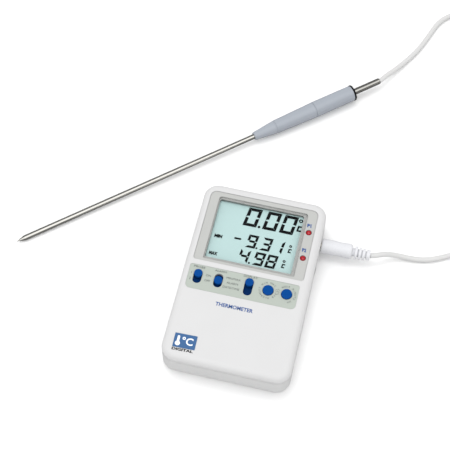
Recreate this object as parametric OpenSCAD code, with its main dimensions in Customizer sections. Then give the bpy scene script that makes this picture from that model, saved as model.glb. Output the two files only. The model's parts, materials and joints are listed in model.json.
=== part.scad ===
// Digital minimum/maximum thermometer for darkroom trays and tanks: a display unit with two
// probe channels, and a needle probe on a cord that is plugged into the first one.
// Origin: centre of the unit's back. +X to the jacks, +Y to the display end, +Z out of the face.

/* [Case] */
// Width of the display unit
case_w = 70; // [70:0.5:72]
// Length of the display unit
case_l = 109; // [109:0.5:112]
// Thickness of the display unit
case_h = 19; // [19:0.5:21]
// Corner radius seen from the front
corner_r = 8; // [7.8:0.1:8.4]
// Wall thickness of both shells
wall = 2; // [1.8:0.1:2]
// Radius along the edge of the face
face_edge_r = 3.6; // [2:0.1:3.7]
// Radius along the edge of the back
back_edge_r = 3; // [2.5:0.1:3.5]
// Height of the front shell's side wall
front_side_h = 5; // [4.8:0.1:5.2]

/* [Display] */
// Depth of the display's surface below the face
display_depth = 3; // [2.9:0.1:3.1]
// Height of the figures in the top row
large_digit_h = 11.8; // [10:0.1:12]
// Height of the figures in the two lower rows
small_digit_h = 8.2; // [7:0.1:8.4]
// Lean of the figures, as sideways shift per unit of height
digit_slant = 0.13; // [0:0.01:0.16]

/* [Controls] */
// Width of a slide switch's knob
knob_w = 4.5; // [4.2:0.1:4.7]
// Length of a slide switch's knob
knob_l = 4.5; // [4.3:0.1:4.7]
// Travel of the two-position switches
short_travel = 3.5; // [3:0.1:3.6]
// Travel of the three-position switch
long_travel = 5.5; // [5:0.1:5.5]
// Diameter of the push buttons
button_d = 5.8; // [5:0.1:6.2]
// How far the controls stand out of the face
control_rise = 0.6; // [0.4:0.1:1]
// Diameter of the indicator lamps
lamp_d = 3.2; // [3:0.1:3.3]

/* [Plug and jacks] */
// Diameter of the plug's contacts
plug_d = 3.5; // [3.5]
// Length of the plug's contacts
plug_l = 14; // [13.5:0.1:14]
// Diameter of a jack's bore
jack_d = 3.6; // [3.56:0.01:3.6]
// Height of the jacks' axis above the back
jack_z = 7; // [6.9:0.05:7]

/* [Probe] */
// Diameter of the needle
needle_d = 3; // [2.8:0.1:3.2]
// Length of the needle in front of the handle
needle_l = 152.5; // [150:0.5:155]
// Length of the bare step between the needle's full diameter and the handle
needle_neck = 0.5; // [0.3:0.1:1]
// Length of the needle's conical tip
tip_l = 5; // [4:0.5:7]
// Length of the handle
handle_l = 68; // [66:0.5:70]
// Largest diameter of the handle
handle_d = 9.6; // [9:0.1:10]
// Diameter of the tube behind the handle
rear_tube_d = 3.8; // [3.6:0.1:4.2]
// Length of the tube behind the handle
rear_tube_l = 18.5; // [17:0.5:20]
// Turn of the probe about the vertical, from +X
probe_turn = 40.55; // [40:0.05:41]

/* [Cord] */
// Diameter of the cord
cord_d = 2.9; // [2.7:0.1:3]
// Layers of turns in the coil
coil_layers = 6; // [6]
// Turns side by side in a layer
coil_columns = 4; // [4]

/* [Hidden] */
$fn = 48;

// Heights that the rest hangs on
face_in = case_h - wall;                     // underside of the face
parting = case_h - front_side_h;             // where the shells meet
parting_gap = 0.3;
display_z = case_h - display_depth;          // surface of the display
glass_t = 2.75;
board_t = 1.6;
strip_h = 2.2;                               // height of the contact strips
board_top = display_z - glass_t - strip_h - 0.05;
board_low = board_top - board_t;
top_z = case_h + control_rise;               // top of the controls
margin = 0.5;                                // how far a cutter passes a face

// Display, seen from the front: [x0, y0, x1, y1]
surround_box = [-31, 5, 30.3, 49.3];
window_box = [-25.9, 6.6, 24.9, 46.6];
opening_box = [-29.3, 6.1, 29, 47.8];
skirt_box = [-27.5, 6.3, 25.4, 47.4];
view_box = [-25.3, 8.2, 22.9, 45.4];
holder_box = [-27.2, 6, 25.1, 47.6];
glass_box = [-26.3, 6.9, 24.3, 46.8];
label_box = [-31.4, -12.8, 29.2, 1.8];
badge_box = [-29.1, -47.9, -17.1, -39.9];
badge_turn = 1.5;                            // stuck on slightly askew
surround_t = 0.9;
surround_sink = 0.3;                         // surround below the face
surround_low = case_h - surround_sink - surround_t;
window_t = 0.7;
label_t = 0.25;
label_sink = 0.35;
segment_t = 0.1;

// Controls
controls_y = -5.15;
buttons_y = -4.75;
channel_y = [35.2, 18.9];                    // lamp and jack of each channel
lamp_x = 27.3;
probe_switch_x = -26;
alarm_switch_x = -14.5;
display_switch_x = 2.2;
left_button_x = 13;
right_button_x = 23.2;
slot_gap = 0.15;                             // round a knob in its slot
knob_plate_t = 1.2;
knob_plate_top = face_in - 0.2;
knob_plate_low = knob_plate_top - knob_plate_t;
switch_w = 4.4;
switch_h = 3.3;
lever_w = 1.6;
foot_l = 2.6;
button_travel = 0.7;
flange_r = button_d / 2 + 0.95;
push_switch_h = 3.4;
plunger_top = board_top + push_switch_h + 0.85;

// Fasteners
screw_x = case_w / 2 - 5.2;
screw_y = case_l / 2 - 6.7;
column_top = board_low - 0.4;
post_x = 30;
post_y = [-17, 41.5];

// Batteries lie across the case
cell_d = 10.5;
cell_l = 44.5;
cell_nub_l = 0.9;
cell_z = wall + 0.35 + cell_d / 2;
bay_y = -34;
cell_pitch = 11.6;
bay_half_l = 25.3;
bay_half_w = 12.3;
bay_top = cell_z + cell_d / 2 + 0.15;
plate_t = 0.3;
cover_half_w = 24.8;
cover_top_y = -20.6;
cover_gap = 0.15;
rail_top = 3.4;
tongue_out = 0.9;
tongue_low = 0.85;
tongue_high = 1.75;

// Stand on the back
stand_pivot = [41.3, 1.7];                   // y and z of its hinge
stand_half_w = 14.9;
stand_end_y = 8;
stand_pin_r = 1.1;
stand_recess = [-15.4, 6, 15.4, 44];
recess_depth = 3.4;

// Plug, along +X from the first jack
collar_x = case_w / 2 + 0.4;
barrel_end_x = case_w / 2 + 17.8;
relief_end_x = case_w / 2 + 28;
collar_d = 8.4;
waist_d = 8;

// Probe: where its tip is, and the lean that lets needle and handle both rest on the table
tip_xy = [-133.8, 0.6];
handle_wide = 41;                            // from the handle's nose to its widest place
ring_t = 1.2;
probe_lean = asin((handle_d - needle_d) / 2 / (needle_l + handle_wide - tip_l));
tip_z = needle_d / 2 / cos(probe_lean) - tip_l * sin(probe_lean) + 0.02;

// Cord: each stretch is a hand-laid route, the rest is wound into the coil
cord_z = cord_d / 2 + 0.05;
coil_centre = [127, 125];
coil_mid_r = 6 * cord_d;
coil_pitch = cord_d + 0.05;
coil_in_r = coil_mid_r - coil_columns * coil_pitch / 2;
coil_out_r = coil_mid_r + coil_columns * coil_pitch / 2;
coil_h = cord_z + cord_d / 2 + (coil_layers - 1) * cord_d;
tie_t = 0.9;
tie_w = 5;
plug_side_route = [
    [63, 35.2, 7], [66, 36, 7], [69.5, 37.8, 6.4], [73.5, 39.6, 4.8], [78.5, 40.9, 3.1],
    [84, 41.4, 1.9], [90, 42, 1.5], [96, 43.4, 1.5], [102, 46.1, 1.5], [108.5, 49.7, 1.5],
    [113.5, 53.8, 1.5], [116, 59.5, 1.5], [116.2, 66.5, 1.5], [115, 74.5, 1.5],
    [112.6, 82.5, 1.5], [110, 90.5, 1.5], [107.7, 99, 1.5], [106, 107.5, 1.5],
    [105.3, 116, 1.5], [105.2, 125, 1.5]
];
coil_side_route = [
    [105.2, 125, 16], [105.4, 133, 15.4], [105.9, 141, 13.4], [106.6, 149, 10.3],
    [107.4, 157, 6.9], [108.4, 165, 4], [109.5, 173, 2.1], [110.5, 181, 1.5],
    [111.3, 189, 1.5], [111.7, 197, 1.5], [111.3, 205, 1.5], [109.4, 212.6, 1.5],
    [105.4, 219.2, 1.5], [99.4, 223.3, 1.5], [92.4, 224, 1.5], [85.8, 221.6, 1.5],
    [80.2, 217, 1.5], [76.2, 211.2, 1.5], [73.5, 204.2, 1.5], [71.2, 197.7, 1.5],
    [68.2, 190.1, 1.5], [64.4, 182.7, 1.5], [60.6, 176.3, 1.8], [56.7, 170.2, 2.6],
    [53.1, 164.2, 4.3]
];

// ---------- shared shapes ----------

// Rectangle [x0, y0, x1, y1] with one corner radius at its lower and one at its upper end
module panel(box, r_low, r_high) {
    mid = (box[1] + box[3]) / 2;
    w = box[2] - box[0];
    translate([box[0] + r_low, box[1]]) square([w - 2 * r_low, mid - box[1]]);
    translate([box[0], box[1] + r_low]) square([w, mid - box[1] - r_low]);
    translate([box[0] + r_high, mid]) square([w - 2 * r_high, box[3] - mid]);
    translate([box[0], mid]) square([w, box[3] - mid - r_high]);
    for (x = [box[0] + r_low, box[2] - r_low]) translate([x, box[1] + r_low]) circle(r_low);
    for (x = [box[0] + r_high, box[2] - r_high]) translate([x, box[3] - r_high]) circle(r_high);
}

module plate(box, low, high, r_low, r_high) {
    translate([0, 0, low]) linear_extrude(high - low) panel(box, r_low, r_high);
}

function grow(box, by) = [box[0] - by, box[1] - by, box[2] + by, box[3] + by];

// Box given by its centre in plan, its size in plan and its two heights
module block(centre, size, low, high) {
    translate([centre[0] - size[0] / 2, centre[1] - size[1] / 2, low])
        cube([size[0], size[1], high - low]);
}

// Section from a corner's centre out to the case's side, with both edges rounded
module side_section(reach, low, high, r_low, r_high) {
    mid = (low + high) / 2;
    translate([0, low]) square([reach - r_low, mid - low]);
    translate([0, mid]) square([reach - r_high, high - mid]);
    translate([0, low + r_low]) square([reach, high - low - r_low - r_high]);
    if (r_low > 0) translate([reach - r_low, low + r_low]) circle(r_low);
    if (r_high > 0) translate([reach - r_high, high - r_high]) intersection() {
        circle(r_high);
        translate([-r_high, -0.2 * r_high]) square([2 * r_high, 1.2 * r_high]);
    }
}

// The case's outline between two heights, with rounded edges
module slab(low, high, r_low, r_high) {
    half = [case_w / 2 - corner_r, case_l / 2 - corner_r];
    block([0, 0], 2 * half, low, high);
    for (i = [0 : 3]) {
        turned = i % 2;
        out = half[turned];
        along = half[1 - turned];
        rotate(90 * i) {
            translate([out, along, 0]) rotate([90, 0, 0]) linear_extrude(2 * along)
                side_section(corner_r, low, high, r_low, r_high);
            translate([out, along, 0]) rotate_extrude(angle = 90)
                side_section(corner_r, low, high, r_low, r_high);
        }
    }
}

// The same outline with upright sides, moved in by inset
module plain_slab(inset, low, high) {
    r = corner_r - inset;
    box = grow([-case_w / 2, -case_l / 2, case_w / 2, case_l / 2], -inset);
    plate(box, low, high, r, r);
}

module at_case_screws() {
    for (x = [-screw_x, screw_x], y = [-screw_y, screw_y]) translate([x, y, 0]) children();
}

module at_board_screws() {
    for (x = [-post_x, post_x], y = post_y) translate([x, y, 0]) children();
}

module cylinder_between(low, high, r) {
    translate([0, 0, low]) cylinder(h = high - low, r = r);
}

// Pan-head screw with its head down and a cross recess
module screw(head_low, head_h, head_r, shank_r, end) {
    difference() {
        union() {
            cylinder_between(head_low, head_low + head_h, head_r);
            cylinder_between(head_low + head_h, end, shank_r);
        }
        for (a = [0, 90]) rotate(a)
            block([0, 0], [1.3 * head_r, 0.28 * head_r], head_low - margin, head_low + 0.5 * head_h);
    }
}

// Round tube swept along points; up is a direction that the path never follows
function unit(v) = v / norm(v);
function heading(p, i) = unit(p[min(i + 1, len(p) - 1)] - p[max(i - 1, 0)]);
function ring_at(p, i, r, sides, up) =
    let (t = heading(p, i), n = unit(cross(up, t)), b = cross(t, n))
    [for (k = [0 : sides - 1]) p[i] + r * (cos(360 * k / sides) * n + sin(360 * k / sides) * b)];

module tube(p, r, sides, up) {
    last = len(p) - 1;
    polyhedron(
        points = [for (i = [0 : last]) each ring_at(p, i, r, sides, up)],
        faces = [
            [for (k = [sides - 1 : -1 : 0]) k],
            [for (k = [0 : sides - 1]) last * sides + k],
            for (i = [0 : last - 1], k = [0 : sides - 1])
                [i * sides + k, i * sides + (k + 1) % sides,
                 (i + 1) * sides + (k + 1) % sides, (i + 1) * sides + k]
        ]
    );
}

// ---------- shells ----------

module front_case() {
    lip_low = parting - 1.1;
    color("whitesmoke") difference() {
        union() {
            difference() {
                slab(parting + parting_gap / 2, case_h, 0, face_edge_r);
                plain_slab(wall, parting - margin, face_in);
            }
            difference() {
                plain_slab(1.1, lip_low, parting + parting_gap);
                plain_slab(wall, lip_low - margin, parting + margin);
            }
            at_case_screws() cylinder_between(column_top + 0.1, face_in, 2.4);
            at_board_screws() cylinder_between(board_top, face_in, 2);
        }
        plate(grow(surround_box, 0.15), surround_low, case_h + margin, 1.6, 3.5);
        plate(opening_box, face_in - 0.01, case_h + margin, 1, 2);
        plate(grow(label_box, 0.1), case_h - label_sink, case_h + margin, 2.7, 1.3);
        control_holes(face_in - margin, case_h + margin);
        at_case_screws() cylinder_between(column_top - margin, column_top + 6, 1.35);
        at_board_screws() cylinder_between(board_top - margin, board_top + 5, 1);
    }
}

// Slots of the slide switches and holes of the push buttons
module control_holes(low, high) {
    for (s = [[probe_switch_x, short_travel], [alarm_switch_x, short_travel],
              [display_switch_x, long_travel]])
        slot(s[0], s[1], low, high);
    for (x = [left_button_x, right_button_x])
        translate([x, buttons_y, 0]) cylinder_between(low, high, button_d / 2 + 0.2);
}

module slot(x, travel, low, high) {
    w = knob_w / 2 + slot_gap;
    l = (knob_l + travel) / 2 + slot_gap;
    plate([x - w, controls_y - l, x + w, controls_y + l], low, high, w - 0.1, w - 0.1);
}

module rear_case() {
    hinge_x = stand_half_w + 1.9;
    color("gainsboro") difference() {
        union() {
            difference() {
                slab(0, parting - parting_gap / 2, back_edge_r, 0);
                plain_slab(wall, wall, parting + margin);
                plain_slab(1, parting - 1.25, parting + margin);
            }
            at_case_screws() cylinder_between(wall - 0.2, column_top, 2.4);
            at_case_screws() cylinder_between(wall - 0.2, 4.4, 3.2);
            block([0, 25], [2 * hinge_x + 2.4, 41.2], wall - 0.2, recess_depth + 1.6);
            block([0, bay_y], [2 * bay_half_l + 2.4, 2 * bay_half_w + 2.4], wall - 0.2, bay_top + 1.1);
            block([0, -36.2], [2 * cover_half_w + 5, 32.5], wall - 0.2, rail_top);
        }
        plate(stand_recess, -margin, recess_depth, 1, 1);
        translate([0, stand_pivot[0], stand_pivot[1]]) rotate([0, 90, 0])
            cylinder(h = 2 * hinge_x, r = stand_pin_r + 0.08, center = true);
        cover_shape(cover_gap, -case_l / 2 - 5);
        block([0, bay_y], [2 * (cover_half_w + cover_gap), 2 * bay_half_w], wall, rail_top + 0.1);
        block([0, bay_y], [2 * bay_half_l, 2 * bay_half_w], rail_top, bay_top);
        for (y = channel_y) translate([case_w / 2 - wall - margin, y, jack_z]) rotate([0, 90, 0])
            cylinder(h = wall + 2 * margin, r = 3.3);
        at_case_screws() cylinder_between(-margin, column_top + margin, 1.5);
        at_case_screws() cylinder_between(-margin, 2.6, 2.4);
        for (x = [-25, -22, -19]) block([x, 20], [1, 8], -margin, wall + margin);
    }
}

// The sliding battery cover: a flat tray floor with a tongue along each side
module cover_shape(gap, end_y) {
    top_y = cover_top_y + gap;
    w = cover_half_w + gap;
    translate([-w, end_y, -margin]) cube([2 * w, top_y - end_y, wall + gap + margin]);
    translate([-w - tongue_out, end_y, tongue_low - gap])
        cube([2 * (w + tongue_out), top_y - end_y, tongue_high - tongue_low + 2 * gap]);
}

module battery_cover() {
    color("gainsboro") difference() {
        intersection() {
            slab(0, parting, back_edge_r, 0);
            cover_shape(0, -case_l / 2 - 1);
        }
        for (i = [0 : 4]) block([0, cover_top_y - 5 - 1.6 * i], [16, 0.7], -margin, 0.4);
    }
}

module stand() {
    pivot_y = stand_pivot[0];
    color("gainsboro") {
        difference() {
            plate([-stand_half_w, stand_end_y, stand_half_w, pivot_y], 0.4, 2.4, 2, 0.5);
            plate([-10, stand_end_y + 5, 10, pivot_y - 6], -margin, 1, 1, 1);
        }
        translate([0, pivot_y, stand_pivot[1]]) rotate([0, 90, 0]) {
            cylinder(h = 2 * stand_half_w, r = 1.35, center = true);
            cylinder(h = 2 * stand_half_w + 3.4, r = stand_pin_r, center = true);
        }
    }
}

module case_screws() {
    color("silver") at_case_screws() screw(0.6, 2, 2.1, 1.3, column_top + 5.5);
}

// ---------- display ----------

module display_surround() {
    color("silver") difference() {
        union() {
            plate(surround_box, surround_low, surround_low + surround_t, 1.5, 3.4);
            plate(skirt_box, display_z + 0.1, surround_low + 0.1, 1, 1.5);
        }
        plate(grow(window_box, 0.1), surround_low, case_h, 1, 1.6);
        plate(view_box, display_z - margin, case_h, 0.6, 1.2);
        for (y = channel_y) translate([lamp_x, y, 0])
            cylinder_between(display_z - margin, case_h, lamp_d / 2 + 0.12);
    }
}

module display_window() {
    color("lightcyan", 0.35)
        plate(window_box, surround_low, surround_low + window_t, 0.9, 1.5);
}

module display_holder() {
    color("dimgray") difference() {
        plate(holder_box, board_top, display_z - 0.1, 0.8, 0.8);
        plate(grow(glass_box, 0.1), board_top - margin, display_z, 0.3, 0.3);
    }
}

module display_glass() {
    color("lightcyan") plate(glass_box, board_top + strip_h, display_z - 0.25, 0.2, 0.2);
}

module display_polariser() {
    color("paleturquoise") plate(grow(glass_box, -0.6), display_z - 0.25, display_z - 0.05, 0.2, 0.2);
}

module display_reflector() {
    box = [glass_box[0] + 1, glass_box[1] + 3, glass_box[2] - 1, glass_box[3] - 3];
    color("silver") plate(box, board_top + strip_h - 0.25, board_top + strip_h, 0.2, 0.2);
}

module contact_strip(y) {
    color("lightpink") block([-1, y], [48, 2], board_top, board_top + strip_h);
}

module upper_contact_strip() { contact_strip(glass_box[3] - 1.2); }
module lower_contact_strip() { contact_strip(glass_box[1] + 1.2); }

// Seven-segment figures, each drawn in a box that leans to the right
SEGMENTS = ["abcdef", "bc", "abged", "abgcd", "fgbc", "afgcd", "afgedc", "abc", "abcdefg", "abcdfg"];
function leaned(p) = [p[0] + digit_slant * p[1], p[1]];

// Outline of a figure's bar in a box w by h, with mitred corners and a gap at mid height
function bar_outline(name, w, h, t) =
    let (g = 0.06, i = t + g, m = h / 2, low = 0.48 * h, up = 0.52 * h, cut = 0.25 * t)
    name == "a" ? [[g, h], [w - g, h], [w - i, h - t], [i, h - t]] :
    name == "b" ? [[w, h - g], [w, up], [w - t, up + cut], [w - t, h - i]] :
    name == "c" ? [[w, low], [w, g], [w - t, i], [w - t, low - cut]] :
    name == "d" ? [[w - g, 0], [g, 0], [i, t], [w - i, t]] :
    name == "e" ? [[0, g], [0, low], [t, low - cut], [t, i]] :
    name == "f" ? [[0, up], [0, h - g], [t, h - i], [t, up + cut]] :
    [for (p = [[0.7, 0], [1.2, 1], [-1.2, 1], [-0.7, 0], [-1.2, -1], [1.2, -1]])
        [p[0] > 0 ? p[0] * t : w + p[0] * t, m + p[1] * t / 2]];

module figure(bars, w, h, t) {
    for (i = [0 : len(bars) - 1])
        linear_extrude(segment_t) polygon([for (p = bar_outline(bars[i], w, h, t)) leaned(p)]);
}

module degrees_celsius(r, t, drop) {
    w = 2.2 * r;
    h = 3.2 * r;
    linear_extrude(segment_t) difference() {
        circle(r);
        circle(r - 0.7 * t);
    }
    translate([-1.25 * r, -drop, 0]) linear_extrude(segment_t)
        polygon([for (p = [[w, h], [0, h], [0, 0], [w, 0], [w, t], [t, t], [t, h - t], [w, h - t]]) leaned(p)]);
}

// One row: figures by their left edges, the point's place, and the degree sign's place
module figure_row(y, values, lefts, w, h, t, point_x, degree) {
    translate([0, y, 0]) {
        for (i = [0 : len(values) - 1]) translate([lefts[i], 0, 0]) figure(SEGMENTS[values[i]], w, h, t);
        translate([point_x, 0.4 * t, 0]) cylinder(h = segment_t, r = 0.42 * t);
        translate([degree[0], degree[1], 0]) degrees_celsius(degree[2], 0.52 * t, degree[3]);
    }
}

module display_segments() {
    color("black") translate([0, 0, display_z - 0.05]) {
        figure_row(33, [0, 0, 0], [-9.8, 1.3, 10.9], 7.7, large_digit_h, 1.8, -0.5, [21.6, 9.8, 1.15, 6.9]);
        figure_row(19.8, [9, 3, 1], [-5.5, 2.6, 9.4], 5.5, small_digit_h, 1.35, 1, [19.2, 6, 0.8, 4.2]);
        figure_row(10, [4, 9, 8], [-7.9, 0.6, 7.5], 5.6, small_digit_h, 1.35, -1, [17.6, 5.9, 0.8, 4.2]);
        translate([-13.4, 18.8 + small_digit_h / 2, 0]) figure("g", 5.8, 2, 1.1);
    }
}

module control_label() {
    color("darkkhaki") difference() {
        plate(label_box, case_h - label_sink, case_h - label_sink + label_t, 2.6, 1.2);
        control_holes(case_h - 1, case_h + margin);
    }
}

module badge() {
    middle = [badge_box[0] + badge_box[2], badge_box[1] + badge_box[3]] / 2;
    color("royalblue") translate(middle) rotate(badge_turn) translate(-middle)
        plate(badge_box, case_h, case_h + 0.15, 0.3, 0.3);
}

// ---------- board and what it carries ----------

module main_board() {
    color("seagreen") difference() {
        union() {
            plate([-32.4, -19.8, 32.4, 44], board_low, board_top, 1, 1);
            plate([-24, 40, 24, 50.5], board_low, board_top, 1, 1);
        }
        at_board_screws() cylinder_between(board_low - margin, board_top + margin, 1.1);
    }
}

module board_screws() {
    color("silver") at_board_screws() screw(board_low - 1.3, 1.3, 1.7, 0.95, board_top + 4.5);
}

module controller_chip() {
    color("black") translate([-5, 24, board_low]) rotate([180, 0, 0])
        rotate_extrude() polygon([[0, 0], [5, 0], [4.6, 0.7], [3.2, 1.1], [0, 1.2]]);
}

module clock_crystal() {
    color("silver") translate([4, 12, board_low - 1.02]) rotate([0, 90, 0]) cylinder(h = 6, r = 1);
}

module buzzer() {
    color("black") translate([-22, 20, 0]) difference() {
        cylinder_between(board_low - 3.5, board_low, 7);
        cylinder_between(board_low - 3.5 - margin, board_low - 2.5, 1.2);
    }
}

module lamp(y) {
    flange_low = board_top + 2.6;
    r = lamp_d / 2;
    dome_z = case_h + 0.4 - r;
    color("red") translate([lamp_x, y, 0]) {
        for (side = [-1.27, 1.27]) block([0, side], [0.5, 0.5], board_top, flange_low);
        cylinder_between(flange_low, flange_low + 1, r + 0.4);
        translate([0, 0, flange_low + 1]) rotate_extrude() union() {
            square([r, dome_z - flange_low - 1]);
            intersection() {
                translate([0, dome_z - flange_low - 1]) circle(r);
                square([r, dome_z]);
            }
        }
    }
}

module channel_1_lamp() { lamp(channel_y[0]); }
module channel_2_lamp() { lamp(channel_y[1]); }

module jack(y) {
    back_x = case_w / 2 - 16;
    inside_x = case_w / 2 - wall - 0.05;
    color("dimgray") translate([0, y, 0]) difference() {
        union() {
            block([(back_x + inside_x) / 2, 0], [inside_x - back_x, 7.2], jack_z - 2.5, board_low);
            translate([inside_x, 0, jack_z]) rotate([0, 90, 0])
                cylinder(h = case_w / 2 - inside_x, r = 3);
        }
        translate([case_w / 2 - 14.2, 0, jack_z]) rotate([0, 90, 0]) cylinder(h = 20, r = jack_d / 2);
    }
}

module channel_1_jack() { jack(channel_y[0]); }
module channel_2_jack() { jack(channel_y[1]); }

// ---------- slide switches ----------

// Knobs rest at the upper end of their slots, but the alarm switch's in the middle
function knob_y(x, travel) = controls_y + (x == alarm_switch_x ? 0 : travel / 2);

// Metal can with an open slot for the lever
module switch_body(x, travel) {
    l = travel + foot_l + 0.8;
    color("silver") translate([x, controls_y, board_top]) difference() {
        block([0, 0], [switch_w, l + 1.2], 0, switch_h);
        block([0, 0], [switch_w - 1.2, l], 0.6, switch_h - 0.5);
        block([0, 0], [lever_w + 0.5, travel + lever_w + 0.5], 0.6, switch_h + margin);
    }
}

module switch_lever(x, travel) {
    color("saddlebrown") translate([x, knob_y(x, travel), 0]) {
        block([0, 0], [switch_w - 1.6, foot_l], board_top + 0.8, board_top + switch_h - 0.7);
        block([0, 0], [lever_w, lever_w], board_top + 0.9, knob_plate_low);
    }
}

// Knob on the plate that keeps its slot covered; the plate's upper end stops short of stop_y
module switch_knob(x, travel, stop_y) {
    y = knob_y(x, travel);
    reach = knob_l / 2 + travel + 0.4;
    r = knob_w / 2 - 0.1;
    high_y = min(y + reach, stop_y);
    color("blue") {
        plate([x - 3.7, y - reach, x + 3.7, high_y], knob_plate_low, knob_plate_top, 1, 1);
        plate([x - knob_w / 2, y - knob_l / 2, x + knob_w / 2, y + knob_l / 2],
              knob_plate_low, top_z, r, r);
    }
}

module probe_switch_body() { switch_body(probe_switch_x, short_travel); }
module alarm_switch_body() { switch_body(alarm_switch_x, short_travel); }
module display_switch_body() { switch_body(display_switch_x, long_travel); }
module probe_switch_lever() { switch_lever(probe_switch_x, short_travel); }
module alarm_switch_lever() { switch_lever(alarm_switch_x, short_travel); }
module display_switch_lever() { switch_lever(display_switch_x, long_travel); }
module probe_switch_knob() { switch_knob(probe_switch_x, short_travel, 5.5); }
module alarm_switch_knob() { switch_knob(alarm_switch_x, short_travel, 5.5); }
module display_switch_knob() { switch_knob(display_switch_x, long_travel, 5.5); }

// ---------- push buttons ----------

module button(x) {
    color("blue") translate([x, buttons_y, 0]) {
        cylinder_between(plunger_top, top_z, button_d / 2);
        cylinder_between(face_in - 1.1, face_in - 0.1, flange_r);
    }
}

module plunger(x) {
    color("white") translate([x, buttons_y, 0])
        cylinder_between(board_top + push_switch_h - 0.6, plunger_top, 1.7);
}

module push_switch(x) {
    color("dimgray") translate([x, buttons_y, board_top]) difference() {
        block([0, 0], [6, 6], 0, push_switch_h);
        cylinder_between(push_switch_h - 0.6 - button_travel - 0.1, push_switch_h + margin, 1.78);
    }
}

module left_button() { button(left_button_x); }
module right_button() { button(right_button_x); }
module left_plunger() { plunger(left_button_x); }
module right_plunger() { plunger(right_button_x); }
module left_push_switch() { push_switch(left_button_x); }
module right_push_switch() { push_switch(right_button_x); }

// ---------- batteries ----------

// Dry cell across the case; side is +1 where its positive end points to +X
module cell(y, side) {
    tip_x = bay_half_l - plate_t - 0.15;
    r = cell_d / 2;
    color("darkorange") translate([0, y, cell_z]) rotate([0, 90 * side, 0]) rotate_extrude()
        polygon([[0, tip_x - cell_l], [r - 0.4, tip_x - cell_l], [r, tip_x - cell_l + 0.4],
                 [r, tip_x - cell_nub_l - 0.4], [r - 0.4, tip_x - cell_nub_l],
                 [1.9, tip_x - cell_nub_l], [1.9, tip_x], [0, tip_x]]);
}

module battery_1() { cell(bay_y + cell_pitch / 2, 1); }
module battery_2() { cell(bay_y - cell_pitch / 2, -1); }

// Conical coil spring at each negative end
function spring_point(a, turns, length) =
    let (k = a / (360 * turns), r = 3.6 - 1.4 * k)
    [k * length, r * cos(a), r * sin(a)];

module spring() {
    turns = 3;
    length = 2 * bay_half_l - 2 * plate_t - cell_l - 1.1;
    wire_r = 0.3;
    translate([wire_r, 0, 0])
        tube([for (a = [0 : 24 : 360 * turns]) spring_point(a, turns, length)], wire_r, 6, [1, 0, 0]);
}

module battery_springs() {
    x = bay_half_l - plate_t;
    color("silver") {
        translate([-x, bay_y + cell_pitch / 2, cell_z]) spring();
        translate([x, bay_y - cell_pitch / 2, cell_z]) mirror([1, 0, 0]) spring();
    }
}

// One bridge at -X, and a separate plate for each terminal at +X
module battery_contacts() {
    x = bay_half_l - plate_t / 2;
    low = rail_top + 0.5;
    color("silver") {
        block([-x, bay_y], [plate_t - 0.02, cell_pitch + 9], low, bay_top - 0.5);
        for (side = [-1, 1])
            block([x, bay_y + side * cell_pitch / 2], [plate_t - 0.02, 9], low, bay_top - 0.5);
    }
}

// ---------- plug ----------

// Turned shape about the first jack's axis; the outline's y is the distance along +X
module on_plug_axis(x) {
    translate([x, channel_y[0], jack_z]) rotate([0, 90, 0]) children();
}

module plug_barrel() {
    r = collar_d / 2;
    l = barrel_end_x - collar_x;
    color("white") on_plug_axis(collar_x) rotate_extrude() polygon([
        [0, 0], [r - 0.4, 0], [r, 0.4], [r, 7], [waist_d / 2, 10], [waist_d / 2, 12], [r, 15],
        [r, l - 1.2], [r - 0.3, l - 0.5], [r - 0.9, l], [0, l]
    ]);
}

// Strain relief: a tapered core with ribs round it
module plug_strain_relief() {
    l = relief_end_x - barrel_end_x;
    ribs = [[1.6, 1.35, 3.6], [3.8, 1.35, 3.4], [6, 1.35, 3.2], [8.2, 2, 3]];
    color("white") on_plug_axis(barrel_end_x) {
        cylinder(h = l, r1 = 2.4, r2 = 1.9);
        for (rib = ribs) translate([0, 0, rib[0]])
            cylinder(h = rib[1], r1 = rib[2], r2 = rib[2] - 0.15);
    }
}

module plug_sleeve() {
    color("gold") on_plug_axis(collar_x - plug_l + 5.6) cylinder(h = plug_l - 5.6, r = plug_d / 2);
}

module plug_insulator() {
    color("black") on_plug_axis(collar_x - plug_l + 4.9) cylinder(h = 0.7, r = plug_d / 2 - 0.05);
}

module plug_tip() {
    r = plug_d / 2;
    color("gold") on_plug_axis(collar_x - plug_l) rotate_extrude() polygon([
        [0, 0], [0.7, 0.1], [1.2, 0.5], [r - 0.05, 1.6], [r, 2], [1.2, 3], [1.3, 3.4], [r, 3.9],
        [r, 4.9], [0, 4.9]
    ]);
}

// ---------- cord ----------

module cord_plug_side() {
    color("white") tube(plug_side_route, cord_d / 2, 8, [0, 0, 1]);
}

function rear_tube_point(back) = probe_point(needle_l + handle_l + rear_tube_l - back);

module cord_probe_side() {
    last = [rear_tube_point(-3.5), rear_tube_point(0), rear_tube_point(4)];
    color("white") tube(concat(coil_side_route, last), cord_d / 2, 8, [0, 0, 1]);
}

module cord_coil() {
    r = 1.3;
    half = (coil_out_r - coil_in_r) / 2;
    color("white") difference() {
        translate([coil_centre[0], coil_centre[1], 0]) rotate_extrude()
            panel([coil_mid_r - half, 0.05, coil_mid_r + half, coil_h], r, r);
        tie_ring(0.05);
    }
}

// Strap round the bundle at the coil's far side from the unit
module tie_ring(gap) {
    y = coil_centre[1] + coil_mid_r;
    half = (coil_out_r - coil_in_r) / 2 + 0.2;
    high = coil_h + tie_t + 0.1;
    translate([coil_centre[0] - tie_w / 2 - gap, 0, 0]) rotate([90, 0, 90]) linear_extrude(tie_w + 2 * gap)
        difference() {
            panel([y - half - tie_t, 0, y + half + tie_t, high + tie_t], 2, 2);
            panel([y - half + gap, tie_t + gap, y + half - gap, high - gap], 1.3, 1.3);
        }
}

module cord_tie() {
    color("black") tie_ring(0);
}

// ---------- probe ----------

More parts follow.
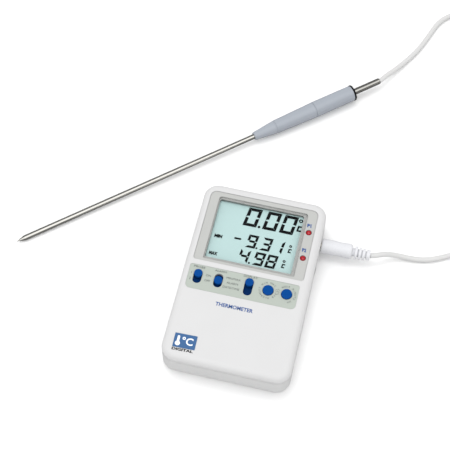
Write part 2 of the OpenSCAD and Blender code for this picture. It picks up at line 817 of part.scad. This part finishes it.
// Place at a distance from the needle's tip along the probe's axis
function probe_point(s) = [
    tip_xy[0] + s * cos(probe_lean) * cos(probe_turn),
    tip_xy[1] + s * cos(probe_lean) * sin(probe_turn),
    tip_z + s * sin(probe_lean)
];

// Turned shape about the probe's axis; the outline's y is the distance from the needle's tip
module on_probe_axis() {
    translate([tip_xy[0], tip_xy[1], tip_z]) rotate([0, 90 - probe_lean, probe_turn]) children();
}

module needle_sheath() {
    r = needle_d / 2;
    neck = needle_l - needle_neck;
    neck_r = r - 0.2;
    end = needle_l + 10;
    color("silver") on_probe_axis() rotate_extrude() polygon([
        [0, 0], [r, tip_l], [r, neck], [neck_r, neck], [neck_r, end],
        [r - 0.4, end], [r - 0.4, tip_l + 2], [0, tip_l + 1.5]
    ]);
}

module sensor_element() {
    color("black") on_probe_axis() translate([0, 0, tip_l + 2.2]) cylinder(h = 6, r = needle_d / 2 - 0.5);
}

module probe_handle() {
    nose = needle_l;
    end = needle_l + handle_l - ring_t;
    wide_r = handle_d / 2;
    needle_r = needle_d / 2 - 0.15;
    tube_r = rear_tube_d / 2 + 0.05;
    color("lightslategray") on_probe_axis() rotate_extrude() polygon([
        [needle_r, nose], [2.2, nose], [2.4, nose + 0.3], [3.95, nose + 13.6],
        [3.75, nose + 13.8], [3.75, nose + 14.2], [4.05, nose + 14.4],
        [wide_r - 0.05, nose + handle_wide - 0.5], [wide_r - 0.3, nose + handle_wide - 0.3],
        [wide_r - 0.3, nose + handle_wide - 0.1], [wide_r, nose + handle_wide],
        [wide_r - 0.1, end], [tube_r, end], [tube_r, end - 8],
        [1.2, end - 8], [1.2, nose + 10.2], [needle_r, nose + 10.2]
    ]);
}

module handle_ring() {
    end = needle_l + handle_l;
    r = handle_d / 2 + 0.1;
    color("black") on_probe_axis() rotate_extrude() polygon([
        [rear_tube_d / 2 + 0.05, end - ring_t], [r - 0.2, end - ring_t], [r, end - ring_t + 0.2],
        [r, end - 0.2], [r - 0.2, end], [rear_tube_d / 2 + 0.05, end]
    ]);
}

module rear_tube() {
    start = needle_l + handle_l - ring_t - 7.8;
    end = needle_l + handle_l + rear_tube_l;
    r = rear_tube_d / 2;
    color("silver") on_probe_axis() rotate_extrude() polygon([
        [0, start], [r, start], [r, end - 0.3], [r - 0.2, end], [cord_d / 2 + 0.1, end],
        [cord_d / 2 + 0.1, end - 4], [0, end - 4]
    ]);
}

front_case();
rear_case();
display_surround();
display_window();
display_holder();
display_glass();
display_polariser();
display_segments();
display_reflector();
upper_contact_strip();
lower_contact_strip();
control_label();
badge();
main_board();
controller_chip();
clock_crystal();
buzzer();
channel_1_lamp();
channel_2_lamp();
channel_1_jack();
channel_2_jack();
probe_switch_body();
alarm_switch_body();
display_switch_body();
left_push_switch();
right_push_switch();
battery_1();
battery_2();
battery_springs();
battery_contacts();
case_screws();
board_screws();
probe_switch_knob();
probe_switch_lever();
alarm_switch_knob();
alarm_switch_lever();
display_switch_knob();
display_switch_lever();
left_button();
left_plunger();
right_button();
right_plunger();
stand();
battery_cover();
plug_barrel();
plug_strain_relief();
plug_sleeve();
plug_insulator();
plug_tip();
cord_plug_side();
cord_coil();
cord_tie();
cord_probe_side();
rear_tube();
probe_handle();
handle_ring();
needle_sheath();
sensor_element();
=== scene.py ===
"""Looks of the thermometer: its camera, light, cord, markings and materials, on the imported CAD."""
import json
import math

import bpy
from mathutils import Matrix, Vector


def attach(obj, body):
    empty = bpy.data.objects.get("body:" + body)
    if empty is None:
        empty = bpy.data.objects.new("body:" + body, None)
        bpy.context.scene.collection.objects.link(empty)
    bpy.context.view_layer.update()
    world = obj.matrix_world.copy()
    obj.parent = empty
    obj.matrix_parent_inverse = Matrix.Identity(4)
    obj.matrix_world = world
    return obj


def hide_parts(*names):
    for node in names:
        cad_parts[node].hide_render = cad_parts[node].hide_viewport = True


MM = 0.001
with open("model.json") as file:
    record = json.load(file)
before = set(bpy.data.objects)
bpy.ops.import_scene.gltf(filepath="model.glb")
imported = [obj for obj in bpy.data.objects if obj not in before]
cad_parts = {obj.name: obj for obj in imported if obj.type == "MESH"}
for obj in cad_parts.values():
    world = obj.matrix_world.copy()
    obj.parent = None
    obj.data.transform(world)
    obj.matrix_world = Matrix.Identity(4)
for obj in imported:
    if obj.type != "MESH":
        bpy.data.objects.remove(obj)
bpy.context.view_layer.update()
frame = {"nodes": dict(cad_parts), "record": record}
nodes = frame["nodes"]


def add_object(name, data):
    obj = bpy.data.objects.new(name, data)
    bpy.context.collection.objects.link(obj)
    return obj


# ---------- sizes and places, in mm, most of them also in the part's source ----------

NEEDLE_D = 3
NEEDLE_L = 152.5
NEEDLE_TIP_L = 5
HANDLE_D = 9.6
HANDLE_L = 68
HANDLE_WIDE = 41  # from the handle's nose to its widest place
REAR_TUBE_L = 18.5
PROBE_L = NEEDLE_L + HANDLE_L + REAR_TUBE_L
PROBE_TURN = math.radians(40.55)
PROBE_LEAN = math.asin((HANDLE_D - NEEDLE_D) / 2 / (NEEDLE_L + HANDLE_WIDE - NEEDLE_TIP_L))
TABLE_GAP = 0.02
PROBE_TIP_X = -133.8
PROBE_TIP_Y = 0.6
PROBE_TIP_Z = NEEDLE_D / 2 / math.cos(PROBE_LEAN) - NEEDLE_TIP_L * math.sin(PROBE_LEAN) + TABLE_GAP

CORD_D = 2.9
CORD_LOW_Z = CORD_D / 2 + 0.05
COIL_LAYERS = 6
COIL_COLUMNS = 4
COIL_CENTRE = Vector((127, 125, 0))
COIL_MID_R = 6 * CORD_D
COIL_PITCH = CORD_D + 0.05
# Routes that the cord lies along: from the plug to the coil, and from the coil to the probe, where
# the last points lead it into the rear tube more smoothly than the part's own route
PLUG_SIDE = [
    (63, 35.2, 7), (66, 36, 7), (69.5, 37.8, 6.4), (73.5, 39.6, 4.8), (78.5, 40.9, 3.1),
    (84, 41.4, 1.9), (90, 42, 1.5), (96, 43.4, 1.5), (102, 46.1, 1.5), (108.5, 49.7, 1.5),
    (113.5, 53.8, 1.5), (116, 59.5, 1.5), (116.2, 66.5, 1.5), (115, 74.5, 1.5),
    (112.6, 82.5, 1.5), (110, 90.5, 1.5), (107.7, 99, 1.5), (106, 107.5, 1.5), (105.3, 116, 1.5),
]
PROBE_SIDE = [
    (105.4, 133, 15.4), (105.9, 141, 13.4), (106.6, 149, 10.3),
    (107.4, 157, 6.9), (108.4, 165, 4), (109.5, 173, 2.1), (110.5, 181, 1.5),
    (111.3, 189, 1.5), (111.7, 197, 1.5), (111.3, 205, 1.5), (109.4, 212.6, 1.5),
    (105.4, 219.2, 1.5), (99.4, 223.3, 1.5), (92.4, 224, 1.5), (85.8, 221.6, 1.5),
    (80.2, 217, 1.5), (76.2, 211.2, 1.5), (73.5, 204.2, 1.5), (71.2, 197.7, 1.5),
    (68.2, 190.1, 1.5), (64.4, 182.7, 1.5), (60.6, 176.3, 1.8), (56.7, 170, 2.6),
    (55, 167.1, 3.3), (53.2, 164.3, 4.1), (51.6, 161.7, 4.8),
]

# Surfaces that the printing lies on
FACE_Z = 19
BADGE_Z = 19.15
LABEL_Z = 18.9
SURROUND_Z = 18.7
DISPLAY_Z = 16.05
BADGE_TURN = math.radians(1.5)  # stuck on slightly askew


# ---------- camera, light and floor ----------

def make_camera():
    """Camera at the photograph's angle: turned and tilted about a point on the table."""
    target = Vector((-21.3, 39.23, 0)) * MM
    turn = math.radians(13.41)
    tilt = math.radians(61.02)
    distance = 656.72 * MM
    back = Vector((math.sin(turn) * math.cos(tilt), -math.cos(turn) * math.cos(tilt), math.sin(tilt)))
    data = bpy.data.cameras.new("camera")
    data.sensor_width = 36
    data.lens = 91.5
    data.clip_start = 0.01
    camera = add_object("camera", data)
    camera.location = target + distance * back
    camera.rotation_euler = (-back).to_track_quat("-Z", "Y").to_euler()
    bpy.context.scene.camera = camera


def make_key_light():
    """Large soft disk above and behind the object, which gives it its faint shadow."""
    place = Vector((-0.5, 0.6, 2.45))
    aim = Vector((-0.02, 0.06, 0))
    data = bpy.data.lights.new("key", "AREA")
    data.shape = "DISK"
    data.size = 1.2
    data.energy = 15
    light = add_object("key", data)
    light.location = place
    light.rotation_euler = (aim - place).to_track_quat("-Z", "Y").to_euler()
    light.visible_glossy = False


def add_backdrop(tree, axis, stops):
    """Background whose brightness follows the cosine between the view and an axis."""
    coords = tree.nodes.new("ShaderNodeTexCoord")
    dot = tree.nodes.new("ShaderNodeVectorMath")
    dot.operation = "DOT_PRODUCT"
    dot.inputs[1].default_value = Vector(axis).normalized()
    ramp = tree.nodes.new("ShaderNodeValToRGB")
    ramp.color_ramp.interpolation = "EASE"
    for element, (cosine, level) in zip(ramp.color_ramp.elements, stops):
        element.position = cosine
        element.color = (level, level, level, 1)
    shade = tree.nodes.new("ShaderNodeBackground")
    tree.links.new(coords.outputs["Generated"], dot.inputs[0])
    tree.links.new(dot.outputs["Value"], ramp.inputs["Fac"])
    tree.links.new(ramp.outputs["Color"], shade.inputs["Color"])
    return shade.outputs[0]


def make_world():
    """White tent for the light that falls on things, and what shiny things mirror in it.

    Mirrored, the tent is dark but for one large softbox overhead on the near side, which
    gives a round rod one bright line between two dark ones.
    """
    world = bpy.data.worlds.new("studio")
    bpy.context.scene.world = world
    world.use_nodes = True
    tree = world.node_tree
    tree.nodes.clear()
    tent = add_backdrop(tree, (0, 0, 1), [(0, 1.12), (0.8, 1.32)])
    mirrored = add_backdrop(tree, (0.09, -0.37, 0.92), [(0.64, 0.2), (0.88, 1.5)])
    light_path = tree.nodes.new("ShaderNodeLightPath")
    mix = tree.nodes.new("ShaderNodeMixShader")
    output = tree.nodes.new("ShaderNodeOutputWorld")
    tree.links.new(light_path.outputs["Is Glossy Ray"], mix.inputs[0])
    tree.links.new(tent, mix.inputs[1])
    tree.links.new(mirrored, mix.inputs[2])
    tree.links.new(mix.outputs[0], output.inputs["Surface"])


def make_floor():
    """White paper, a tenth of a millimetre below the table's plane."""
    bpy.ops.mesh.primitive_plane_add(size=6, location=(0, 0, -0.1 * MM))
    floor = bpy.context.object
    floor.name = "floor"
    floor.data.materials.append(plastic("floor_paper", (0.86, 0.86, 0.86), 0.9, spread=0, bump=0))
    floor.visible_glossy = False


# ---------- materials ----------

NOISE_RANGE = (0.3, 0.7)  # where nearly all of a noise texture's values are


def new_material(name):
    material = bpy.data.materials.new(name)
    material.use_nodes = True
    return material, material.node_tree, material.node_tree.nodes["Principled BSDF"]


def own_place(tree):
    """Place on the object, in its own metres."""
    return tree.nodes.new("ShaderNodeTexCoord").outputs["Object"]


def noise(tree, place, cycles):
    """Noise at a place, with a number of cycles per metre."""
    texture = tree.nodes.new("ShaderNodeTexNoise")
    texture.inputs["Scale"].default_value = cycles
    tree.links.new(place, texture.inputs["Vector"])
    return texture.outputs["Fac"]


def remap(tree, value, low, high):
    """Spread a noise value over a range of roughness."""
    node = tree.nodes.new("ShaderNodeMapRange")
    node.inputs["From Min"].default_value = NOISE_RANGE[0]
    node.inputs["From Max"].default_value = NOISE_RANGE[1]
    node.inputs["To Min"].default_value = low
    node.inputs["To Max"].default_value = min(1, high)
    tree.links.new(value, node.inputs["Value"])
    return node.outputs["Result"]


def mottled(tree, value, colour, spread):
    """Colour that a noise value makes a share darker or lighter."""
    ramp = tree.nodes.new("ShaderNodeValToRGB")
    for element, position, level in zip(ramp.color_ramp.elements, NOISE_RANGE, (1 - spread, 1 + spread)):
        element.position = position
        element.color = [min(1, c * level) for c in colour] + [1]
    tree.links.new(value, ramp.inputs["Fac"])
    return ramp.outputs["Color"]


def bump_from(tree, value, strength, depth):
    """Bumps of a depth in mm."""
    node = tree.nodes.new("ShaderNodeBump")
    node.inputs["Strength"].default_value = strength
    node.inputs["Distance"].default_value = depth * MM
    tree.links.new(value, node.inputs["Height"])
    return node.outputs["Normal"]


def plastic(name, colour, roughness, spread=0.02, grain=2500, bump=0.15, coat=0, specular=0.5):
    """Moulded plastic: faint colour drift, a fine moulded grain and uneven polish."""
    material, tree, shader = new_material(name)
    place = own_place(tree)
    drift = noise(tree, place, 60)
    fine = noise(tree, place, grain)
    tree.links.new(mottled(tree, drift, colour, spread), shader.inputs["Base Color"])
    tree.links.new(remap(tree, fine, 0.85 * roughness, 1.15 * roughness), shader.inputs["Roughness"])
    shader.inputs["Specular IOR Level"].default_value = specular
    shader.inputs["Coat Weight"].default_value = coat
    shader.inputs["Coat Roughness"].default_value = 0.08
    if bump:
        tree.links.new(bump_from(tree, fine, bump, 0.03), shader.inputs["Normal"])
    return material


def metal(name, colour, roughness, turn=0, stretch=(1, 1, 1), grain=900, bump=0.1):
    """Metal with drawing or turning marks; turn is the angle of its long axis from X."""
    material, tree, shader = new_material(name)
    shader.inputs["Metallic"].default_value = 1
    rotate = tree.nodes.new("ShaderNodeVectorRotate")
    rotate.rotation_type = "Z_AXIS"
    rotate.inputs["Angle"].default_value = -turn
    mapping = tree.nodes.new("ShaderNodeMapping")
    mapping.inputs["Scale"].default_value = stretch
    tree.links.new(own_place(tree), rotate.inputs["Vector"])
    tree.links.new(rotate.outputs[0], mapping.inputs["Vector"])
    lines = noise(tree, mapping.outputs[0], grain)
    tree.links.new(mottled(tree, lines, colour, 0.06), shader.inputs["Base Color"])
    tree.links.new(remap(tree, lines, 0.7 * roughness, 1.3 * roughness), shader.inputs["Roughness"])
    tree.links.new(bump_from(tree, lines, bump, 0.01), shader.inputs["Normal"])
    return material


def clear(name, colour, alpha, roughness):
    """Clear plastic that the display is seen through."""
    material, tree, shader = new_material(name)
    shader.inputs["Base Color"].default_value = (*colour, 1)
    shader.inputs["Alpha"].default_value = alpha
    shader.inputs["Specular IOR Level"].default_value = 0.5
    haze = noise(tree, own_place(tree), 90)
    tree.links.new(remap(tree, haze, roughness, 2 * roughness), shader.inputs["Roughness"])
    return material


def banded(axis, stops, material):
    """Multiply a colour by a level that changes along one axis, in mm, as (place, level) pairs."""
    tree = material.node_tree
    shader = tree.nodes["Principled BSDF"]
    low = stops[0][0]
    high = stops[-1][0]
    split = tree.nodes.new("ShaderNodeSeparateXYZ")
    span = tree.nodes.new("ShaderNodeMapRange")
    span.inputs["From Min"].default_value = low * MM
    span.inputs["From Max"].default_value = high * MM
    ramp = tree.nodes.new("ShaderNodeValToRGB")
    elements = ramp.color_ramp.elements
    while len(elements) < len(stops):
        elements.new(0.5)
    for element, (place, level) in zip(elements, stops):
        element.position = (place - low) / (high - low)
        element.color = (level, level, level, 1)
    mix = tree.nodes.new("ShaderNodeMix")
    mix.data_type = "RGBA"
    mix.blend_type = "MULTIPLY"
    mix.inputs["Factor"].default_value = 1
    plain = shader.inputs["Base Color"].links[0].from_socket
    colours = [socket for socket in mix.inputs if socket.type == "RGBA"]
    mixed = [socket for socket in mix.outputs if socket.type == "RGBA"][0]
    tree.links.new(own_place(tree), split.inputs[0])
    tree.links.new(split.outputs[axis], span.inputs["Value"])
    tree.links.new(span.outputs[0], ramp.inputs["Fac"])
    tree.links.new(plain, colours[0])
    tree.links.new(ramp.outputs["Color"], colours[1])
    tree.links.new(mixed, shader.inputs["Base Color"])
    return material


# Painted shade: the walls of the display's recess and the slots of the controls get less light than the
# face, so their colour is painted darker lower down. The tube behind the handle is of a darker steel than
# the needle.
RECESS_PAINTED_SHADE_STOPS = [(16, 0.3), (17.6, 0.5), (17.9, 1)]
SLOT_PAINTED_SHADE_STOPS = [(16.5, 0.42), (16.9, 0.48), (18.3, 0.8), (19, 1)]
STEEL_STOPS = [(0, 1), (20, 0.76)]

MATERIALS = {
    "front_shell": plastic("front_shell_look", (0.56, 0.56, 0.562), 0.42, spread=0.008, grain=2200,
                           bump=0.12),
    "rear_shell": plastic("rear_shell_look", (0.56, 0.56, 0.56), 0.5, spread=0.01, grain=2200, bump=0.2),
    # Painted shade: the surround's colour darkens down the walls of the display's recess.
    "surround": banded("Z", RECESS_PAINTED_SHADE_STOPS, plastic(
        "surround_look", (0.42, 0.425, 0.412), 0.35, spread=0.015, grain=2600, bump=0.1)),
    "window": clear("window_look", (0.04, 0.05, 0.05), alpha=0.03, roughness=0.03),
    "display_frame": plastic("display_frame_look", (0.25, 0.26, 0.26), 0.5),
    "display_glass": plastic("display_glass_look", (0.5, 0.62, 0.6), 0.1),
    "polariser": plastic("polariser_look", (0.437, 0.6, 0.592), 0.35, spread=0.01, grain=4000, bump=0.03),
    "segments": plastic("segments_look", (0.003, 0.003, 0.004), 0.5, spread=0.05, grain=4000, bump=0.03,
                        specular=0.1),
    "reflector": metal("reflector_look", (0.7, 0.72, 0.7), 0.4),
    "elastomer": plastic("elastomer_look", (0.75, 0.5, 0.5), 0.6, spread=0.05),
    "label": plastic("label_look", (0.38, 0.418, 0.376), 0.45, spread=0.012, grain=3000, bump=0.08),
    "badge": plastic("badge_look", (0.035, 0.11, 0.26), 0.3, grain=3000, bump=0.05),
    "board": plastic("board_look", (0.03, 0.2, 0.08), 0.35, spread=0.1),
    "black_resin": plastic("black_resin_look", (0.02, 0.02, 0.022), 0.35, spread=0.1),
    "tinned_steel": metal("tinned_steel_look", (0.6, 0.6, 0.6), 0.35),
    "lamp": plastic("lamp_look", (0.36, 0.004, 0.012), 0.12, spread=0.05, grain=1500, bump=0.02, coat=0.6),
    "jack": plastic("jack_look", (0.02, 0.02, 0.022), 0.4, spread=0.1),
    # Painted shade: the controls' colour darkens below the label, in their slots and on their sides.
    "control": banded("Z", SLOT_PAINTED_SHADE_STOPS, plastic(
        "control_look", (0.001, 0.052, 0.235), 0.3, spread=0.03, bump=0.05, specular=0.06)),
    "lever": plastic("lever_look", (0.6, 0.52, 0.4), 0.5),
    "cell": plastic("cell_look", (0.05, 0.2, 0.1), 0.25, spread=0.05),
    "contact": metal("contact_look", (0.72, 0.68, 0.6), 0.2),
    "screw": metal("screw_look", (0.5, 0.5, 0.52), 0.3),
    "plug": plastic("plug_look", (0.625, 0.63, 0.655), 0.3, spread=0.01, grain=1800, bump=0.1),
    "cord": plastic("cord_look", (0.56, 0.56, 0.555), 0.42, spread=0.012, grain=900),
    "tie": plastic("tie_look", (0.03, 0.03, 0.03), 0.5, spread=0.1),
    "handle": plastic("handle_look", (0.31, 0.335, 0.375), 0.22, spread=0.015, grain=2000, bump=0.12),
    "ring": plastic("ring_look", (0.004, 0.004, 0.0045), 0.7, spread=0.1, specular=0.1),
    "needle": banded("X", STEEL_STOPS, metal(
        "needle_look", (0.66, 0.65, 0.61), 0.16, turn=PROBE_TURN, stretch=(0.04, 1, 1), grain=2500,
        bump=0.06)),
}
INK = plastic("dark_ink", (0.05, 0.055, 0.06), 0.5, spread=0.05)
BLACK_INK = plastic("black_ink", (0.006, 0.006, 0.008), 0.5, spread=0.05, specular=0.2)
BLUE_INK = plastic("blue_ink", (0.02, 0.075, 0.26), 0.5, spread=0.05)
WHITE_INK = plastic("white_ink", (0.8, 0.82, 0.85), 0.5)


def dress_cad_nodes():
    slots = {part["node"]: part["material_slot"] for part in frame["record"]["subparts"]}
    for name, obj in nodes.items():
        for slot in obj.material_slots:
            slot.material = MATERIALS[slots[name]]


def round_edges(name, width):
    """Moulded parts have no sharp edges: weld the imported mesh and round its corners."""
    weld = nodes[name].modifiers.new("weld", "WELD")
    weld.merge_threshold = 0.01 * MM
    bevel = nodes[name].modifiers.new("rounded", "BEVEL")
    bevel.width = width * MM
    bevel.segments = 4
    bevel.limit_method = "ANGLE"
    bevel.angle_limit = math.radians(50)
    bevel.harden_normals = True


def round_controls():
    for name in ("probe_switch_knob", "alarm_switch_knob", "display_switch_knob",
                 "left_button", "right_button"):
        round_edges(name, width=0.5)


# ---------- cord ----------

def probe_point(s):
    """Place at a distance from the needle's tip along the probe's axis."""
    flat = s * math.cos(PROBE_LEAN)
    return Vector((PROBE_TIP_X + flat * math.cos(PROBE_TURN), PROBE_TIP_Y + flat * math.sin(PROBE_TURN),
                   PROBE_TIP_Z + s * math.sin(PROBE_LEAN)))


def smooth(t):
    """Soft step from 0 to 1 as t goes from 0 to 1."""
    t = min(1, max(0, t))
    return t * t * (3 - 2 * t)


def coil_path():
    """Turns laid side by side and layer on layer, clockwise from the side next to the unit.

    Each turn shifts to the next ring, or climbs to the next layer, in its last part, so that
    turns lie beside and on each other. All of them rise a little over the tie's band.
    """
    steps = 36
    change = 75  # degrees that a shift or a climb takes
    shift_at = 210
    climb_at = 285
    tie_at = 90
    tie_reach = 45
    tie_lift = 0.9
    turns = COIL_LAYERS * COIL_COLUMNS
    rings = [COIL_MID_R + ((COIL_COLUMNS - 1) / 2 - i) * COIL_PITCH for i in range(COIL_COLUMNS)]
    rings_there_and_back = rings + rings[::-1]
    points = []
    for turn in range(turns):
        after = min(turn + 1, turns - 1)
        r = rings_there_and_back[turn % len(rings_there_and_back)]
        r_after = rings_there_and_back[after % len(rings_there_and_back)]
        layer = turn // COIL_COLUMNS
        layer_after = after // COIL_COLUMNS
        for step in range(steps):
            degrees = 360 * step / steps
            angle = math.radians(180 - degrees)
            out = r + (r_after - r) * smooth((degrees - shift_at) / change)
            climb = (layer_after - layer) * smooth((degrees - climb_at) / change)
            lift = tie_lift * smooth(1 - abs(degrees - tie_at) / tie_reach)
            z = CORD_LOW_Z + CORD_D * (layer + climb) + lift
            points.append(COIL_CENTRE + Vector((out * math.cos(angle), out * math.sin(angle), z)))
    top_z = CORD_LOW_Z + CORD_D * (COIL_LAYERS - 1)
    points.append(COIL_CENTRE + Vector((-r_after, 0, top_z)))
    return points


def softened(points, spacing):
    """Points about spacing apart on a Catmull-Rom curve through the given ones."""
    result = []
    last = len(points) - 1
    for i in range(last):
        p0 = points[max(i - 1, 0)]
        p1 = points[i]
        p2 = points[i + 1]
        p3 = points[min(i + 2, last)]
        pieces = max(1, round((p2 - p1).length / spacing))
        for k in range(pieces):
            t = k / pieces
            linear = (p2 - p0) * t
            square = (2 * p0 - 5 * p1 + 4 * p2 - p3) * t * t
            cube = (3 * p1 - 3 * p2 + p3 - p0) * t ** 3
            result.append((2 * p1 + linear + square + cube) / 2)
    result.append(points[-1])
    return result


def tube_curve(name, points, diameter):
    data = bpy.data.curves.new(name, "CURVE")
    data.dimensions = "3D"
    data.bevel_depth = diameter / 2 * MM
    data.bevel_resolution = 4
    data.use_fill_caps = True
    spline = data.splines.new("POLY")
    spline.points.add(len(points) - 1)
    for place, point in zip(spline.points, points):
        place.co = (*(point * MM), 1)
    return add_object(name, data)


def make_cord():
    """One cord from inside the probe's rear tube, round the coil, to the plug's strain relief."""
    hidden = 3.5  # of the cord, inside the tube
    straight = 1.2  # out of the tube, before the first bend
    spacing = 2.5
    start = [probe_point(s) for s in (PROBE_L - hidden, PROBE_L, PROBE_L + straight)]
    coil = coil_path()
    probe_side = softened(start + [Vector(p) for p in reversed(PROBE_SIDE)] + [coil[-1]], spacing)
    plug_side = softened([coil[0]] + [Vector(p) for p in reversed(PLUG_SIDE)], spacing)
    points = probe_side[:-1] + coil[::-1][:-1] + plug_side
    cord = tube_curve("cord", points, CORD_D)
    cord.data.materials.append(MATERIALS["cord"])
    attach(cord, "probe_lead")
    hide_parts("cord_plug_side", "cord_coil", "cord_probe_side")


# ---------- markings ----------

PRINT_LIFT = 0.012  # of a print's middle above its surface
PRINT_HALF_T = 0.01
CAPITAL_SHARE = 0.7  # of the font's size that a capital is high


def lay_print(obj, x, y, z, turn, ink):
    """Put a flat printed shape on a surface of the unit, in mm."""
    obj.data.extrude = PRINT_HALF_T * MM
    obj.data.materials.append(ink)
    obj.location = Vector((x, y, z + PRINT_LIFT)) * MM
    obj.rotation_euler = (0, 0, turn)
    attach(obj, "meter")


def words(name, text, x, y, z, height, ink, width=None, lean=0, bold=0, turn=0):
    """Flat lettering centred on (x, y), in mm; height is that of a capital."""
    data = bpy.data.curves.new(name, "FONT")
    data.body = text
    data.align_x = "CENTER"
    data.align_y = "CENTER"
    data.size = height / CAPITAL_SHARE * MM
    data.shear = lean
    data.offset = bold * MM
    data.resolution_u = 3
    obj = add_object(name, data)
    if width:
        bpy.context.view_layer.update()
        obj.scale.x = width * MM / obj.dimensions.x
    lay_print(obj, x, y, z, turn, ink)


def ring_words(name, text, x, start, end):
    """Letters round a push button, upright outwards, from one angle to another in degrees."""
    y = -4.75
    r = 4.6
    for i, letter in enumerate(text):
        if letter == " ":
            continue
        angle = math.radians(start + (end - start) * i / (len(text) - 1))
        words(f"{name}_{i}", letter, x + r * math.cos(angle), y + r * math.sin(angle), LABEL_Z, 1, INK,
              turn=angle - math.pi / 2)


def flat_shape(name, outline, x, y, z, ink):
    """Flat printed shape on the badge, from one closed outline, in mm about (x, y)."""
    data = bpy.data.curves.new(name, "CURVE")
    data.dimensions = "2D"
    data.fill_mode = "BOTH"
    spline = data.splines.new("POLY")
    spline.points.add(len(outline) - 1)
    spline.use_cyclic_u = True
    for place, (u, v) in zip(spline.points, outline):
        place.co = (u * MM, v * MM, 0, 1)
    lay_print(add_object(name, data), x, y, z, BADGE_TURN, ink)


def thermometer_sign(x, bulb_y, bulb_r, top_y, half):
    """Outline of a bulb with a round-topped stem on it; half is half the stem's width."""
    first = math.asin(half / bulb_r)
    bulb = [first + (2 * math.pi - 2 * first) * i / 24 for i in range(25)]
    cap = [math.pi * i / 8 for i in range(9)]
    return ([(x + bulb_r * math.sin(a), bulb_y + bulb_r * math.cos(a)) for a in bulb]
            + [(x - half * math.cos(a), top_y + half * math.sin(a)) for a in cap])


def make_badge_print():
    """A thermometer sign and a degree sign on the blue plate, with a plain word below."""
    x = -23.1
    y = -43.9
    sign = thermometer_sign(x=-3.7, bulb_y=-1.7, bulb_r=1.35, top_y=2.1, half=0.65)
    flat_shape("badge_sign", sign, x, y, BADGE_Z, WHITE_INK)
    words("badge_unit", "\u00b0C", x + 1.3, y - 0.1, BADGE_Z, 4, WHITE_INK, width=6, bold=0.12,
          turn=BADGE_TURN)
    words("badge_word", "DIGITAL", x - 0.3, y - 5.1, FACE_Z, 1.35, BLACK_INK, width=11.4,
          bold=0.09, turn=BADGE_TURN)


# Name, text, x, y, height of a capital, and width, or None for the font's own
LABEL_WORDS = [
    ("mark_probe", "PROBE", -26.2, 0.45, 1.25, 6.3),
    ("mark_probe_1", "1", -29.8, -3.6, 1.3, None),
    ("mark_probe_2", "2", -29.8, -7.3, 1.3, None),
    ("mark_alarm", "ALARM", -14.3, 0.45, 1.25, 6.3),
    ("mark_on", "ON", -20.3, -3.6, 1.25, None),
    ("mark_off", "OFF", -20.3, -6.7, 1.25, None),
    ("mark_display", "DISPLAY", 2.2, 0.9, 1.2, 7.8),
    ("mark_min_max", "MIN/MAX", -6.6, -2.5, 1.25, 7.9),
    ("mark_limit", "ALARM", -6.6, -5.3, 1.25, 6.3),
    ("mark_clock", "DATE/TIME", -6.8, -8.1, 1.25, 9.2),
]


def make_markings():
    """Printing on the label, the surround, the display and the face."""
    for name, text, x, y, height, width in LABEL_WORDS:
        words(name, text, x, y, LABEL_Z, height, INK, width=width)
    ring_words("mark_left_button", "SET MIN MAX CLEAR ALARM", x=13, start=205, end=-140)
    ring_words("mark_right_button", "SET HOUR MINUTE UP", x=23.2, start=190, end=-70)
    for name, text, y in (("mark_channel_1", "P1", 39.4), ("mark_channel_2", "P2", 23.7)):
        words(name, text, 27.1, y, SURROUND_Z, 2, BLUE_INK, width=2.6, lean=-0.12, bold=0.16)
    for name, text, x, y, width in (("mark_min", "MIN", -21.2, 22.9, 4.4),
                                    ("mark_max", "MAX", -21.6, 11.8, 4.7)):
        words(name, text, x, y, DISPLAY_Z, 1.8, MATERIALS["segments"], width=width, bold=0.16)
    words("mark_name", "THERMOMETER", -2.5, -18.9, FACE_Z, 2.1, BLUE_INK, width=20.5, bold=0.09)
    make_badge_print()


make_camera()
make_cord()
make_world()
make_floor()
make_key_light()
bpy.context.scene.view_settings.view_transform = "Standard"
dress_cad_nodes()
round_controls()
make_markings()
